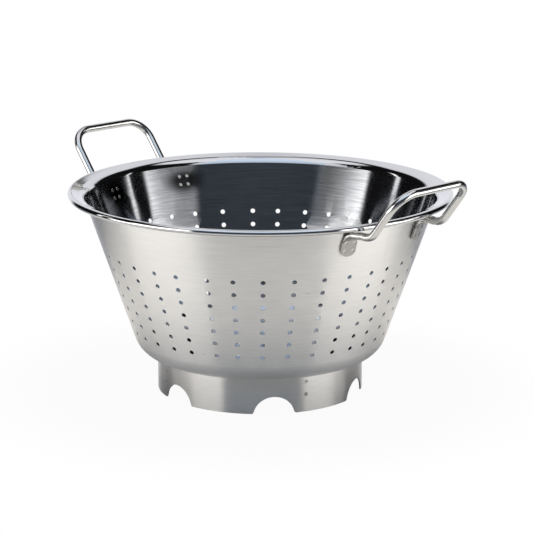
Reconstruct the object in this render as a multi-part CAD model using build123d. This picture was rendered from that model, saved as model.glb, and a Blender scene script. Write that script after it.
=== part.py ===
from build123d import *
import math
import os

# Footed steel colander, in millimetres and degrees.
# The origin is the middle of the plane that the foot stands on, +Z is up, and the handles lie on +X and -X.

# Bowl: one pressed sheet, made as three nodes: base, wall and rim
bowl_sheet = 1.0
rim_diameter = 400.0
rim_height = 211.7
flange_width = 14.55  # level, from the rim's edge in to the wall's outer face, carried up
wall_slope = 19.07  # from upright
floor_height = 37.0  # of the floor's underside
corner_radius = 28.0
rim_bend_radius = 9.0
flange_slope = 16.3  # from level
bead_diameter = 6.4
bead_turn = 256.0

# Drain holes in the wall: columns that were punched a little unevenly
hole_diameter = 5.0
hole_columns = 35
hole_rows = 7
hole_row_pitch = 14.8  # along the slant
top_row_drop = 60.2  # below the rim's top
first_column_angle = -44.4
column_drift_shares = (
    0, 0.05, 0.1, 0.05, 0, -0.2, -0.25, -0.3, -0.3, -0.25, -0.25, -0.2,
    -0.2, -0.15, -0.15, -0.25, -0.3, -0.25, -0.3, -0.15, -0.05, -0.05, 0, 0.05,
    0.1, 0.1, 0.15, 0.15, 0.2, 0.1, 0.05, 0.05, -0.05, 0.1, 0,
)

# Drain holes in the floor: rings about one middle hole
floor_hole_rings = 5
floor_hole_ring_pitch = 16.0
floor_holes_added_per_ring = 6

# Foot ring: a rolled strip with arches along its lower edge
foot_diameter = 215.2
foot_sheet = 1.5
arch_count = 6
arch_radius = 21.5
arch_centre_drop = 3.5
arch_corner_radius = 2.5
first_arch_angle = -37.6

# Foot brackets: angles between the ring and the floor
bracket_count = 4
bracket_sheet = 1.5
bracket_width = 15.0
bracket_drop = 24.5
bracket_reach = 22.0
bracket_bend_radius = 4.0
bracket_fit = 0.05
first_bracket_angle = -19.5

# Handles: one bent rod each, with its ends forged flat
rod_diameter = 8.0
handle_spread = 104.0
leg_length = 59.2  # along the middle line, between its bends' points
leg_slope = 52.5  # from level
run_past_rim = 8.9
run_drop = 11.9  # of the level run below the rim's top
low_bend_radius = 14.0
grip_corner_radius = 23.0
tab_bend_radius = 8.0
flattened_run = 17.5
tab_width = 17.0
tab_thickness = 3.0
tab_length = 18.4
tab_end_radius = 8.0
tab_shoulder_radius = 4.0
tab_edge_radius = 1.1
tab_root = 5.0  # how far the flattened end runs down into the tab
flattened_lap = 0.5  # and on the other side into the round rod
flattened_fit_share = 0.985  # of the rod's radius, there
flattened_rounding_share = 0.97  # corner radius, of half the thickness
seat_gap = 0.1

# Spot welds
weld_diameter = 4.0
weld_rise = 0.4
weld_dimple = 0.3
weld_fit = 0.02
tab_weld_spread = 9.2
tab_weld_pitch = 9.0
tab_weld_drop = 2.6
floor_weld_spread = 8.0
floor_weld_inset = 11.0  # from the ring's inner face
ring_weld_height_shares = ((0.86, 0.49), (0.8, 0.47), (0.8, 0.47), (0.74, 0.45))

# How far a cutting tool runs past what it cuts
overrun = 6.0

slope = math.radians(wall_slope)
foot_inner_radius = foot_diameter / 2 - foot_sheet
run_height = rim_height - run_drop


def around(angle):
    """Unit vector level with the ground, at an angle from +X."""
    return Vector(math.cos(math.radians(angle)), math.sin(math.radians(angle)), 0)


def wall_radius(height):
    """Outer radius of the straight wall at a height."""
    return rim_diameter / 2 - flange_width - (rim_height - height) * math.tan(slope)


def wall_plane(angle, height, gap=0):
    """Plane on the wall's outer face: Z points out of the bowl, Y up the slant."""
    out = around(angle) * math.cos(slope) - Vector(0, 0, math.sin(slope))
    foot = around(angle) * wall_radius(height) + Vector(0, 0, height)
    return Plane(foot + out * gap, x_dir=around(angle + 90), z_dir=out)


def bar(plane, radius, start, end):
    """Round bar along a plane's Z, from start to end."""
    return plane.offset(start) * Cylinder(
        radius, end - start, align=(Align.CENTER, Align.CENTER, Align.MIN)
    )


def sheet_line(points, radius, sheet, side):
    """Closed section of a bent sheet, on the XZ plane, from the line of one of its faces."""
    line = FilletPolyline(*points, radius=radius)
    return make_face(Plane.XZ * offset(line, sheet, side=side))


def corner_centre_radius():
    """How far out the middle of the bowl's lower corner lies."""
    centre_height = floor_height + corner_radius
    return wall_radius(centre_height) - corner_radius / math.cos(slope)


def underside_height(radius):
    """Height of the bowl's underside where the foot meets it."""
    past_floor = max(0, radius - corner_centre_radius())
    return floor_height + corner_radius - math.sqrt(corner_radius**2 - past_floor**2)


def bowl_line(depth):
    """Edges of one face of the bowl's sheet, from the axis outwards, for its base, its wall and its rim.

    depth is 0 for the face outside the bowl and the sheet's thickness for the one inside.
    """
    bead_radius = bead_diameter / 2 - bowl_sheet + depth
    bead_x = rim_diameter / 2 - bead_diameter / 2
    bead_z = rim_height - bead_diameter / 2
    start = 90 + flange_slope
    end_x = bead_x + bead_radius * math.cos(math.radians(start))
    end_z = bead_z + bead_radius * math.sin(math.radians(start))
    floor = floor_height + depth
    inset = depth / math.cos(slope)
    rise = math.tan(math.radians(flange_slope))
    # The flange's line meets the wall's line here
    gap = end_x - (wall_radius(end_z) - inset)
    bend_x = end_x - gap / (1 - rise * math.tan(slope))
    bend_z = end_z - rise * (end_x - bend_x)
    body = FilletPolyline(
        (0, floor),
        (wall_radius(floor) - inset, floor),
        (bend_x, bend_z),
        (end_x, end_z),
        radius=(corner_radius - depth, rim_bend_radius + depth),
    )
    bottom, corner, wall, bend, flange = body.edges()
    bead = CenterArc((bead_x, bead_z), bead_radius, start, -bead_turn)
    return (bottom, corner), (wall,), (bend, flange, bead)


def sheet_section(outside, inside):
    """Closed half section between the edges of the sheet's two faces."""
    ends = (Line(outside[0] @ 0, inside[0] @ 0), Line(outside[-1] @ 1, inside[-1] @ 1))
    return make_face(Plane.XZ * Wire(outside + inside + ends))


def bowl_sections():
    """Half sections of the bowl's base, wall and rim, which meet face to face."""
    return [sheet_section(*faces) for faces in zip(bowl_line(0), bowl_line(bowl_sheet))]


def wall_holes():
    """Tools for the columns of holes in the wall."""
    pitch = 360 / hole_columns
    row_step = hole_row_pitch * math.cos(slope)
    tools = []
    for column in range(hole_columns):
        drift = column_drift_shares[column % len(column_drift_shares)]
        angle = first_column_angle + (column + drift) * pitch
        for row in range(hole_rows):
            plane = wall_plane(angle, rim_height - top_row_drop - row * row_step)
            tools.append(bar(plane, hole_diameter / 2, -overrun, overrun))
    return tools


def floor_holes():
    """Tools for the rings of holes in the floor."""
    tools = []
    for ring in range(floor_hole_rings + 1):
        count = max(1, ring * floor_holes_added_per_ring)
        for place in range(count):
            centre = around(360 * place / count) * (ring * floor_hole_ring_pitch)
            plane = Plane(centre + Vector(0, 0, floor_height))
            tools.append(bar(plane, hole_diameter / 2, -overrun, overrun))
    return tools


def tab_bend():
    """Where the middle line of a tab, carried up, meets the level run: its distance out and its angle."""
    middle = seat_gap + tab_thickness / 2
    radius = wall_radius(run_height) + middle / math.cos(slope)
    return radius, math.degrees(math.asin(handle_spread / 2 / radius))


def tab_top_height():
    """Height where a tab leaves the wall and starts to bend outwards."""
    turn = math.pi / 2 - slope
    return run_height - tab_bend_radius * math.tan(turn / 2) * math.cos(slope)


def tab_weld_planes(side, end):
    """Planes between wall and tab for the four welds of one tab. side and end are 1 or -1."""
    angle = tab_bend()[1] * end
    if side < 0:
        angle = 180 - angle
    planes = []
    for row in range(2):
        drop = tab_weld_drop + row * tab_weld_pitch
        plane = wall_plane(angle, tab_top_height() - drop * math.cos(slope))
        for across in (-tab_weld_spread / 2, tab_weld_spread / 2):
            planes.append(plane.shift_origin(plane.from_local_coords((across, 0, 0))))
    return planes


def bracket_angle(index):
    """Angle of a bracket from +X."""
    return first_bracket_angle + 360 * index / bracket_count


def ring_weld_planes(index):
    """Planes between ring and bracket for one upright pair of welds."""
    out = around(bracket_angle(index))
    shares = ring_weld_height_shares[index % len(ring_weld_height_shares)]
    seats = [out * foot_inner_radius + Vector(0, 0, floor_height * share) for share in shares]
    return [Plane(seat, x_dir=(0, 0, 1), z_dir=out) for seat in seats]


def floor_weld_planes(index):
    """Planes between floor and bracket for one pair of welds, side by side."""
    out = around(bracket_angle(index))
    across = around(bracket_angle(index) + 90)
    middle = out * (foot_inner_radius - floor_weld_inset) + Vector(0, 0, floor_height)
    seats = [middle + across * half for half in (-floor_weld_spread / 2, floor_weld_spread / 2)]
    return [Plane(seat, x_dir=out, z_dir=(0, 0, -1)) for seat in seats]


def weld_holes(planes):
    """Tools for the seats of welds, through both sheets."""
    radius = weld_diameter / 2 + weld_fit
    return [bar(plane, radius, -overrun, overrun) for plane in planes]


def welds(planes, inner_sheet, outer_sheet):
    """Weld nuggets, raised on the inner sheet and dimpled on the outer one."""
    nuggets = []
    for plane in planes:
        nugget = bar(Plane.XY, weld_diameter / 2, -inner_sheet - weld_rise, outer_sheet - weld_dimple)
        crown = nugget.edges().group_by(Axis.Z)[0]
        nuggets.append(plane * fillet(crown, weld_rise * 0.9))
    return Compound(children=nuggets)


def bowl_base(section):
    """The bowl's floor and lower corner, with the floor's holes and the seats of the brackets' welds."""
    tools = floor_holes()
    for index in range(bracket_count):
        tools += weld_holes(floor_weld_planes(index))
    return revolve(section, Axis.Z) - tools


def bowl_wall(section):
    """The bowl's straight wall, with its holes and the seats of the handles' welds."""
    tools = wall_holes()
    for side in (1, -1):
        for end in (1, -1):
            tools += weld_holes(tab_weld_planes(side, end))
    return revolve(section, Axis.Z) - tools


def foot_ring():
    """The foot: a rolled strip that meets the bowl's underside along its inner edge."""
    height = underside_height(foot_inner_radius)
    upright = (Align.CENTER, Align.CENTER, Align.MIN)
    ring = Cylinder(foot_diameter / 2, height, align=upright)
    ring -= Cylinder(foot_inner_radius, height, align=upright)
    tools = []
    for index in range(arch_count):
        out = around(first_arch_angle + 360 * index / arch_count)
        middle = out * foot_inner_radius - Vector(0, 0, arch_centre_drop)
        tools.append(bar(Plane(middle, z_dir=out), arch_radius, -overrun, overrun))
    ring -= tools
    feet = ring.edges().filter_by(lambda edge: edge.length < 2 * foot_sheet).group_by(Axis.Z)[0]
    ring = fillet(feet, arch_corner_radius)
    for index in range(bracket_count):
        ring -= weld_holes(ring_weld_planes(index))
    return ring


def foot_bracket(index):
    """One angle bracket, with a leg behind the ring and a leg under the floor."""
    seat = foot_inner_radius - bracket_fit
    points = (
        (seat, floor_height - bracket_drop),
        (seat, floor_height),
        (foot_inner_radius - bracket_reach, floor_height),
    )
    section = sheet_line(points, bracket_bend_radius, bracket_sheet, Side.LEFT)
    width = math.degrees(bracket_width / foot_inner_radius)
    bracket = revolve(section, Axis.Z, revolution_arc=width)
    bracket = bracket.rotate(Axis.Z, bracket_angle(index) - width / 2)
    return bracket - weld_holes(ring_weld_planes(index) + floor_weld_planes(index))


def rod_loop():
    """The round part of a handle: two legs and the grip between them."""
    half = handle_spread / 2
    start_x = tab_line()[1].X + flattened_run
    low_x = math.sqrt((rim_diameter / 2) ** 2 - half**2) + run_past_rim
    grip_x = low_x + leg_length * math.cos(math.radians(leg_slope))
    grip_height = run_height + leg_length * math.sin(math.radians(leg_slope))
    path = FilletPolyline(
        (start_x, half, run_height),
        (low_x, half, run_height),
        (grip_x, half, grip_height),
        (grip_x, -half, grip_height),
        (low_x, -half, run_height),
        (start_x, -half, run_height),
        radius=(low_bend_radius, grip_corner_radius, grip_corner_radius, low_bend_radius),
    )
    section = Plane(path @ 0, z_dir=path % 0) * Circle(rod_diameter / 2)
    return sweep(section, path)


def tab_line():
    """Middle line of a flattened end, as three points: low on the tab, at the bend, and where it is round."""
    radius, angle = tab_bend()
    bend = around(angle) * radius + Vector(0, 0, run_height)
    up = around(angle) * math.sin(slope) + Vector(0, 0, math.cos(slope))
    return bend - up * tab_length, bend, bend + Vector(flattened_run, 0, 0)


def flattened_end():
    """Transition of a rod from round to flat, as an outline that widens and thins around the bend."""
    line = FilletPolyline(*tab_line(), radius=tab_bend_radius)
    straight, curve, run = line.edges()
    across = around(tab_bend()[1] + 90)
    rod = rod_diameter / 2 * flattened_fit_share
    half = tab_thickness / 2
    wide = tab_width / 2
    # Each step: a place on the middle line, its direction, and the half width and half thickness there
    steps = (
        (straight @ 1 - (straight % 1) * tab_root, straight % 1, wide * 0.9, half * 0.6),
        (straight @ 1, straight % 1, wide * 0.92, half * 0.85),
        (curve @ 0.5, curve % 0.5, rod + (wide - rod) * 0.7, rod - (rod - half) * 0.8),
        (curve @ 1, curve % 1, rod + (wide - rod) * 0.4, rod - (rod - half) * 0.45),
        (run @ 0.5, run % 0.5, rod + (wide - rod) * 0.1, rod - (rod - half) * 0.12),
        (run @ 1 + (run % 1) * flattened_lap, run % 1, rod, rod),
    )
    sections = []
    for place, (centre, direction, half_width, half_thick) in enumerate(steps):
        twist = max(0, place - 1) / (len(steps) - 2)
        turned = across + (Vector(0, 1, 0) - across) * twist
        plane = Plane(centre, x_dir=turned, z_dir=direction)
        outline = RectangleRounded(2 * half_width, 2 * half_thick, half_thick * flattened_rounding_share)
        sections.append(plane * outline)
    return loft(sections)


def tab():
    """Flat end of a rod, which lies on the wall."""
    angle = tab_bend()[1]
    seat = wall_plane(angle, tab_top_height(), seat_gap)
    section = RectangleRounded(tab_width, tab_thickness, tab_edge_radius)
    middle = Plane(seat.origin + seat.z_dir * (tab_thickness / 2), x_dir=seat.x_dir, z_dir=-seat.y_dir)
    strip = extrude(middle * section, tab_length)
    corners = Rectangle(tab_width, tab_length, align=(Align.CENTER, Align.MAX))
    ends = corners.vertices().group_by(Axis.Y)
    outline = fillet(ends[0], tab_end_radius)
    outline = fillet(outline.vertices().group_by(Axis.Y)[-1], tab_shoulder_radius)
    return strip & extrude(seat * outline, tab_thickness)


def handle(side):
    """One handle, on +X for side 1 and on -X for side -1."""
    end = flattened_end() + tab()
    whole = rod_loop() + end + mirror(end, about=Plane.XZ)
    whole -= weld_holes(tab_weld_planes(1, 1) + tab_weld_planes(1, -1))
    if side < 0:
        return whole.rotate(Axis.Z, 180)
    return whole


def write(name, shape):
    """Write one sub-part."""
    export_step(shape, "parts/" + name + ".step")


os.makedirs("parts", exist_ok=True)
base_section, wall_section, rim_section = bowl_sections()
write("bowl_base", bowl_base(base_section))
write("bowl_wall", bowl_wall(wall_section))
write("bowl_rim", revolve(rim_section, Axis.Z))
write("foot_ring", foot_ring())
for side, side_name in ((1, "right"), (-1, "left")):
    write("handle_" + side_name, handle(side))
    for end, end_name in ((-1, "front"), (1, "rear")):
        nuggets = welds(tab_weld_planes(side, end), bowl_sheet, seat_gap + tab_thickness)
        write("handle_" + side_name + "_" + end_name + "_welds", nuggets)
for index in range(bracket_count):
    name = "foot_bracket_" + str(index + 1)
    write(name, foot_bracket(index))
    write(name + "_ring_welds", welds(ring_weld_planes(index), bracket_fit + bracket_sheet, foot_sheet))
    write(name + "_floor_welds", welds(floor_weld_planes(index), bowl_sheet, bracket_sheet))
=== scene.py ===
import math
import bmesh
import bpy
from mathutils import Matrix, Vector


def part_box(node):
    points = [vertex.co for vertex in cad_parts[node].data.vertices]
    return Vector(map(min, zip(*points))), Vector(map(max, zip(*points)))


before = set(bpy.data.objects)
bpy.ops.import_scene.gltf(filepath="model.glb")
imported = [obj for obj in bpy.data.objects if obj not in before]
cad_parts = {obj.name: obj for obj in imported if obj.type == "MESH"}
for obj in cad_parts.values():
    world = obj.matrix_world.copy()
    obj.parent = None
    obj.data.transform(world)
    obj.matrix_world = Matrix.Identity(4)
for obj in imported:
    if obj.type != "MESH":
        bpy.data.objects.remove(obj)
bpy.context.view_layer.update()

# The camera, fitted to the photograph: metres and degrees
CAMERA_TURN = math.radians(44.5)
CAMERA_RISE = math.radians(13.769)
CAMERA_DISTANCE = 2.4
CAMERA_ROLL = math.radians(0.2)
LENS = 154.86
SENSOR = 36.0
AIM = Vector((0.0046, 0.0045, 0.128))

# The table top that the colander stands on, in metres: its size, the zone that steel reflects as white,
# and the zone where the camera starts to see plain white only
TABLE_RADIUS = 0.75
TABLE_SIDES = 96
MIRRORED_ZONE = (0.225, 0.44, 0.05)  # from, to, soft edge
MIRRORED_SHARE = 0.95
SHADOW_ZONE = (0.18, 0.36)
SHADOW_WHITE = 0.95  # how white the camera sees the table inside that zone
TABLE_COLOUR = (0.55, 0.545, 0.54, 1.0)
TABLE_TINT = (1.0, 0.975, 0.93, 1.0)
WHITE = (1.0, 1.0, 1.0, 1.0)

# Soft boxes. Each has its span about the object, in degrees round to the right from the camera's side,
# its span in degrees up from level, both with their soft edges, and its brightness.
SIDE_BOXES = (
    ((-98.0, -41.0, 3.0), (-40.0, 5.0, 4.0), 3.0),
    ((-81.0, -41.0, 2.0), (5.0, 20.5, 2.5), 2.4),
    ((-109.5, -105.5, 1.0), (-10.0, 30.0, 3.0), 1.7),
    ((48.0, 101.0, 3.0), (-40.0, 5.0, 4.0), 3.0),
    ((48.0, 88.0, 2.0), (5.0, 17.5, 2.0), 2.5),
    ((48.0, 88.0, 3.0), (17.5, 25.0, 2.0), 0.48),
    ((102.5, 105.5, 1.0), (-10.0, 24.0, 3.0), 1.7),
)
FRONT_BOX = ((-68.0, 54.0, 4.0), (34.0, 56.0, 3.0), 1.0)
LAMP_TINT = (1.0, 0.985, 0.965, 1.0)

# The rest of the room, in the same degrees: where each light starts and is full, and how bright it is
CEILING_RISE = (52.0, 58.0)
CEILING_TURN = (135.0, 165.0)
CEILING_LIGHT = (1.2, 0.6)  # before and past that turn
WALL_TURN = (140.0, 150.0)
WALL_TOP = (42.0, 49.0)
WALL_LIGHT = 1.05
GLOOM_TURN = (44.0, 50.0)  # where the gloom around the camera ends
GLOOM_LIGHT = 0.07
LEAST_LIGHT = 0.008
GLOOM_TINT = (0.7, 0.83, 1.0, 1.0)
ROOM_TINT = (0.93, 0.94, 1.0, 1.0)

# The bowl's sizes that its finishes follow, in metres: its rim, its floor, the slope of its wall from
# upright, the radius of its lower corner and the thickness of its sheet
RIM_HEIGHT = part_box("bowl_rim")[1].z
RIM_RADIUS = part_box("bowl_rim")[1].x
FLOOR_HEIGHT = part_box("bowl_base")[0].z
FLANGE_WIDTH = 0.01455
WALL_SLOPE = math.radians(19.07)
CORNER_RADIUS = 0.028
SHEET = 0.001
POLISH_DROP = 0.0095  # how far below the rim's top its polish ends
POLISH_FADE = 0.002
TAB_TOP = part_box("handle_right_front_welds")[1].z + 0.001
TAB_FADE = 0.002

# The marks that the handles' welds left: where they start and stop to fade, the share of its brightness
# that the steel keeps where they are darkest, and how much each axis counts
HEAT_FADE = (0.006, 0.025)
HEAT_DARKEST = 0.08
HEAT_SHARES = (1.0, 0.75, 1.3)

# Brushed lines: their waviness about the axis, how much the radius counts against the height, how deep
# they are, the part of their range that shows, and how rough the steel is at both ends of it
LINE_WAVES = 5.0
LINE_LEAN = 0.35
LINE_DEPTH = 0.00005
LINE_RANGE = (0.25, 0.75)
LINE_ROUGHNESS = (1.08, 0.94)


class Wire:
    """A value in a material: a socket that takes part in sums like a number."""

    def __init__(self, tree, socket):
        self.tree = tree
        self.socket = socket

    def node(self, kind, settings=None, **inputs):
        """A new node of a kind, with its settings and the values or links of its sockets."""
        made = self.tree.nodes.new(kind)
        for name, value in (settings or {}).items():
            setattr(made, name, value)
        for name, value in inputs.items():
            key = int(name[1:]) if name[0] == "_" else name.replace("_", " ")
            target = made.inputs[key]
            if isinstance(value, Wire):
                self.tree.links.new(value.socket, target)
            else:
                target.default_value = value
        return made

    def out(self, kind, settings=None, output=0, **inputs):
        """One output of a new node, by its name or place."""
        return Wire(self.tree, self.node(kind, settings, **inputs).outputs[output])

    def math(self, operation, *values):
        """The result of a Math node."""
        inputs = {"_" + str(i): value for i, value in enumerate(values)}
        return self.out("ShaderNodeMath", {"operation": operation}, **inputs)

    def vector(self, operation, *values, output=0):
        """The result of a Vector Math node."""
        inputs = {"_" + str(i): value for i, value in enumerate(values)}
        return self.out("ShaderNodeVectorMath", {"operation": operation}, output=output, **inputs)

    def __add__(self, other):
        return self.math("ADD", self, other)

    def __radd__(self, other):
        return self.math("ADD", other, self)

    def __sub__(self, other):
        return self.math("SUBTRACT", self, other)

    def __rsub__(self, other):
        return self.math("SUBTRACT", other, self)

    def __mul__(self, other):
        return self.math("MULTIPLY", self, other)

    def __truediv__(self, other):
        return self.math("DIVIDE", self, other)

    def ease(self, low, high, start=0.0, end=1.0):
        """Smooth step from start to end as this goes from low to high."""
        return self.out(
            "ShaderNodeMapRange",
            {"interpolation_type": "SMOOTHSTEP"},
            _0=self, _1=low, _2=high, _3=start, _4=end,
        )

    def band(self, low, high, soft):
        """1 between low and high, with soft edges."""
        return self.ease(low - soft, low + soft) * (1.0 - self.ease(high - soft, high + soft))

    def blend(self, first, second):
        """First colour where this is 0 and second where it is 1."""
        return self.out(
            "ShaderNodeMix", {"data_type": "RGBA"}, output=2, _0=self, _6=first, _7=second
        )

    def vector_of(self, x, y, z):
        """A vector from three numbers."""
        return self.out("ShaderNodeCombineXYZ", _0=x, _1=y, _2=z)

    def length(self):
        """The length of a vector."""
        return self.vector("LENGTH", self, output=1)

    def away(self, point, shares):
        """How far this place lies from a point, with each axis weighed by its share."""
        gap = self.vector("SUBTRACT", self, point)
        return self.vector("MULTIPLY", gap, shares).length()

    def split(self):
        """The three numbers of a vector."""
        made = self.node("ShaderNodeSeparateXYZ", _0=self)
        return [Wire(self.tree, made.outputs[i]) for i in range(3)]

    def place(self, kind="Object"):
        """The shaded point, in the object's own coordinates or another kind."""
        return self.out("ShaderNodeTexCoord", output=kind)

    def ray(self, kind):
        """1 for a ray of this kind and 0 for any other."""
        return self.out("ShaderNodeLightPath", output=kind)


def new_tree(owner):
    """An empty node tree, and a wire that starts it."""
    owner.use_nodes = True
    owner.node_tree.nodes.clear()
    return Wire(owner.node_tree, None)


def close_tree(wire, kind, shader):
    """Connects a shader to a new output node of a kind."""
    wire.node(kind, Surface=shader)


# Studio

def soft_box(turn, rise, box):
    """The light of one soft box."""
    round_span, up_span, brightness = box
    return turn.band(*round_span) * rise.band(*up_span) * brightness


def studio_world():
    """A dim room: a pale wall behind the object, soft boxes at its sides and high in front, a ceiling."""
    world = bpy.data.worlds.new("studio")
    bpy.context.scene.world = world
    start = new_tree(world)
    x, y, z = start.place("Generated").split()
    across = x * math.cos(CAMERA_TURN) + y * math.sin(CAMERA_TURN)
    towards = x * math.sin(CAMERA_TURN) - y * math.cos(CAMERA_TURN)
    turn = start.math("ARCTAN2", across, towards) * (180 / math.pi)
    rise = start.math("ARCSINE", z) * (180 / math.pi)
    behind = start.math("ABSOLUTE", turn)

    sides = sum(soft_box(turn, rise, box) for box in SIDE_BOXES)
    front = soft_box(turn, rise, FRONT_BOX)
    ceiling = rise.ease(*CEILING_RISE) * behind.ease(*CEILING_TURN, *CEILING_LIGHT)
    wall = behind.ease(*WALL_TURN) * (1.0 - rise.ease(*WALL_TOP)) * WALL_LIGHT
    gloom = (1.0 - behind.ease(*GLOOM_TURN)) * GLOOM_LIGHT + LEAST_LIGHT
    light = sides + front + ceiling + wall + gloom

    warm = sides.ease(0.0, 1.0)
    cool = gloom.ease(0.02, 0.08).blend(ROOM_TINT, GLOOM_TINT)
    colour = warm.blend(cool, LAMP_TINT)
    seen = start.ray("Is Camera Ray")
    strength = seen + (1.0 - seen) * light
    tint = seen.blend(colour, WHITE)
    shine = start.out("ShaderNodeBackground", Color=tint, Strength=strength)
    close_tree(start, "ShaderNodeOutputWorld", shine)


def floor():
    """A plain pale table top, white to the camera, which keeps a trace of the object's shadow."""
    mesh = bpy.data.meshes.new("floor")
    shape = bmesh.new()
    bmesh.ops.create_circle(shape, cap_ends=True, segments=TABLE_SIDES, radius=TABLE_RADIUS)
    shape.to_mesh(mesh)
    shape.free()
    piece = bpy.data.objects.new("floor", mesh)
    bpy.context.scene.collection.objects.link(piece)
    material = bpy.data.materials.new("floor_white")
    start = new_tree(material)
    reach = start.place().length()
    seen = start.ray("Is Camera Ray")
    mirrored = start.ray("Is Glossy Ray")
    pale = start.out("ShaderNodeBsdfDiffuse", Color=TABLE_COLOUR)
    tint = mirrored.blend(WHITE, TABLE_TINT)
    white = start.out("ShaderNodeEmission", Color=tint, Strength=1.0)
    in_view = seen * reach.ease(*SHADOW_ZONE, SHADOW_WHITE, 1.0)
    share = in_view + mirrored * reach.band(*MIRRORED_ZONE) * MIRRORED_SHARE
    both = start.out("ShaderNodeMixShader", _0=share, _1=pale, _2=white)
    close_tree(start, "ShaderNodeOutputMaterial", both)
    mesh.materials.append(material)


def camera():
    """The photograph's camera."""
    data = bpy.data.cameras.new("camera")
    data.lens = LENS
    data.sensor_width = SENSOR
    data.clip_end = 20.0
    piece = bpy.data.objects.new("camera", data)
    bpy.context.scene.collection.objects.link(piece)
    towards = Vector((
        math.sin(CAMERA_TURN) * math.cos(CAMERA_RISE),
        -math.cos(CAMERA_TURN) * math.cos(CAMERA_RISE),
        math.sin(CAMERA_RISE),
    ))
    right = Vector((math.cos(CAMERA_TURN), math.sin(CAMERA_TURN), 0))
    up = towards.cross(right)
    cos, sin = math.cos(CAMERA_ROLL), math.sin(CAMERA_ROLL)
    axes = Matrix((right * cos + up * sin, up * cos - right * sin, towards)).transposed()
    piece.matrix_world = Matrix.Translation(AIM + towards * CAMERA_DISTANCE) @ axes.to_4x4()
    bpy.context.scene.camera = piece


# Steel

def hypotenuse(a, b):
    """The length of the diagonal over two sides at a right angle."""
    return a.math("SQRT", a * a + b * b)


def brush_lines(start, fine):
    """Lines around the object's axis, as a number near 0.5. fine is how fast they vary along a metre."""
    x, y, z = start.place().split()
    radius = hypotenuse(x, y)
    across = (z + radius * LINE_LEAN) * fine
    vector = start.vector_of(x / radius * LINE_WAVES, y / radius * LINE_WAVES, across)
    return start.out("ShaderNodeTexNoise", Vector=vector, Scale=1.0, Detail=3.0, Roughness=0.65)


def steel_shader(start, lines, colour, rough, stretch, contrast, heat=None):
    """A steel surface with lines. stretch, up to 1, draws reflections out across them; heat darkens it."""
    shade = lines.ease(*LINE_RANGE, 1.0 - contrast, 1.0)
    if heat is not None:
        shade = shade * heat
    tint = start.vector("MULTIPLY", colour, start.vector_of(shade, shade, shade))
    rougher, finer = LINE_ROUGHNESS
    bump = start.out("ShaderNodeBump", Strength=contrast, Distance=LINE_DEPTH, Height=lines)
    return start.out(
        "ShaderNodeBsdfPrincipled",
        Base_Color=tint,
        Metallic=1.0,
        Roughness=lines.ease(*LINE_RANGE, rough * rougher, rough * finer),
        Anisotropic=stretch,
        Anisotropic_Rotation=0.25,
        Normal=bump,
    )


def weld_heat(start, place):
    """How bright the heat of the handles' welds left the steel about them: 1 where it didn't reach."""
    heat = 1.0
    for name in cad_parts:
        if name.startswith("handle") and name.endswith("welds"):
            low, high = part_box(name)
            reach = place.away((low + high) / 2, HEAT_SHARES)
            heat = reach.ease(*HEAT_FADE, HEAT_DARKEST, 1.0) * heat
    return heat


def depth_in_sheet(start):
    """How deep a point of the bowl lies behind its outer face."""
    x, y, z = start.place().split()
    radius = hypotenuse(x, y)
    foot_radius = RIM_RADIUS - FLANGE_WIDTH - RIM_HEIGHT * math.tan(WALL_SLOPE)
    wall = (foot_radius + z * math.tan(WALL_SLOPE) - radius) * math.cos(WALL_SLOPE)
    floor_depth = z - FLOOR_HEIGHT
    centre_height = FLOOR_HEIGHT + CORNER_RADIUS
    centre_radius = foot_radius + centre_height * math.tan(WALL_SLOPE) - CORNER_RADIUS / math.cos(WALL_SLOPE)
    out = radius - centre_radius
    up = z - centre_height
    corner = CORNER_RADIUS - hypotenuse(out, up)
    climb = out * math.sin(WALL_SLOPE) + up * math.cos(WALL_SLOPE)
    in_corner = start.math("GREATER_THAN", out, 0.0) * start.math("LESS_THAN", climb, 0.0)
    straight = start.math("MINIMUM", wall, floor_depth)
    return in_corner * corner + (1.0 - in_corner) * straight


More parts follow.
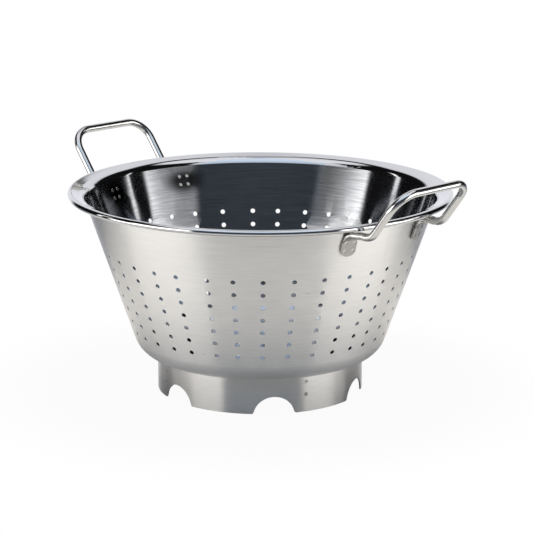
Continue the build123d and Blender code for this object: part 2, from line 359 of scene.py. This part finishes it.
def bowl_steel():
    """The bowl: satin outside, brighter and sharper inside, polished on its rim. Its outside is painted
    lighter and warmer, and its inside darker and bluer, than the rim's steel, as painted light and painted
    shade.
    """
    material = bpy.data.materials.new("bowl_steel")
    start = new_tree(material)
    place = start.place()
    height = place.split()[2]
    fine = brush_lines(start, 900.0)
    coarse = brush_lines(start, 420.0)
    heat = weld_heat(start, place)
    # the outside's colour is the steel painted lighter and warmer than the rim's, as painted light on the
    # outer wall
    outside = steel_shader(start, fine, (0.87, 0.86, 0.84), rough=0.38, stretch=0.85, contrast=0.07)
    # the inside's colour is the steel painted darker and bluer than the rim's, as painted shade on the inner
    # wall
    inside = steel_shader(start, coarse, (0.53, 0.545, 0.57), rough=0.1, stretch=0.8, contrast=0.3, heat=heat)
    rim = steel_shader(start, fine, (0.62, 0.62, 0.62), rough=0.06, stretch=0.0, contrast=0.02)
    inner = depth_in_sheet(start).ease(SHEET * 0.4, SHEET * 0.6)
    wall = start.out("ShaderNodeMixShader", _0=inner, _1=outside, _2=inside)
    on_rim = height.ease(RIM_HEIGHT - POLISH_DROP, RIM_HEIGHT - POLISH_DROP + POLISH_FADE)
    whole = start.out("ShaderNodeMixShader", _0=on_rim, _1=wall, _2=rim)
    close_tree(start, "ShaderNodeOutputMaterial", whole)
    return material


def foot_steel():
    """The foot: satin, its reflections drawn out up and down, its steel painted lighter than the rim's, as
    painted light.
    """
    material = bpy.data.materials.new("foot_steel")
    start = new_tree(material)
    lines = brush_lines(start, 1800.0)
    # the foot's colour is the steel painted lighter than the rim's, as painted light
    surface = steel_shader(start, lines, (0.86, 0.845, 0.82), rough=0.37, stretch=1.0, contrast=0.1)
    close_tree(start, "ShaderNodeOutputMaterial", surface)
    return material


def rod_steel():
    """Polished rod, whose ends, forged flat, stay dull."""
    material = bpy.data.materials.new("rod_steel")
    start = new_tree(material)
    place = start.place()
    marks = start.out("ShaderNodeTexNoise", Vector=place, Scale=900.0, Detail=2.0)
    polished = steel_shader(start, marks, (0.62, 0.615, 0.6), rough=0.15, stretch=0.0, contrast=0.005)
    dull = steel_shader(start, marks, (0.5, 0.49, 0.475), rough=0.34, stretch=0.0, contrast=0.2)
    on_tab = place.split()[2].ease(TAB_TOP, TAB_TOP + TAB_FADE, 1.0, 0.0)
    surface = start.out("ShaderNodeMixShader", _0=on_tab, _1=polished, _2=dull)
    close_tree(start, "ShaderNodeOutputMaterial", surface)
    return material


def weld_steel():
    """Spot welds, left as they cooled."""
    material = bpy.data.materials.new("weld_steel")
    start = new_tree(material)
    place = start.place()
    marks = start.out("ShaderNodeTexNoise", Vector=place, Scale=1200.0, Detail=3.0)
    surface = steel_shader(start, marks, (0.62, 0.61, 0.59), rough=0.25, stretch=0.0, contrast=0.2)
    close_tree(start, "ShaderNodeOutputMaterial", surface)
    return material


def dress():
    """Gives every CAD piece its finish."""
    finishes = {"bowl": bowl_steel(), "foot": foot_steel(), "handle": rod_steel(), "welds": weld_steel()}
    for name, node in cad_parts.items():
        kind = "welds" if name.endswith("welds") else name.split("_")[0]
        node.data.materials.clear()
        node.data.materials.append(finishes[kind])


studio_world()
floor()
camera()
dress()
bpy.context.scene.view_settings.view_transform = "Standard"
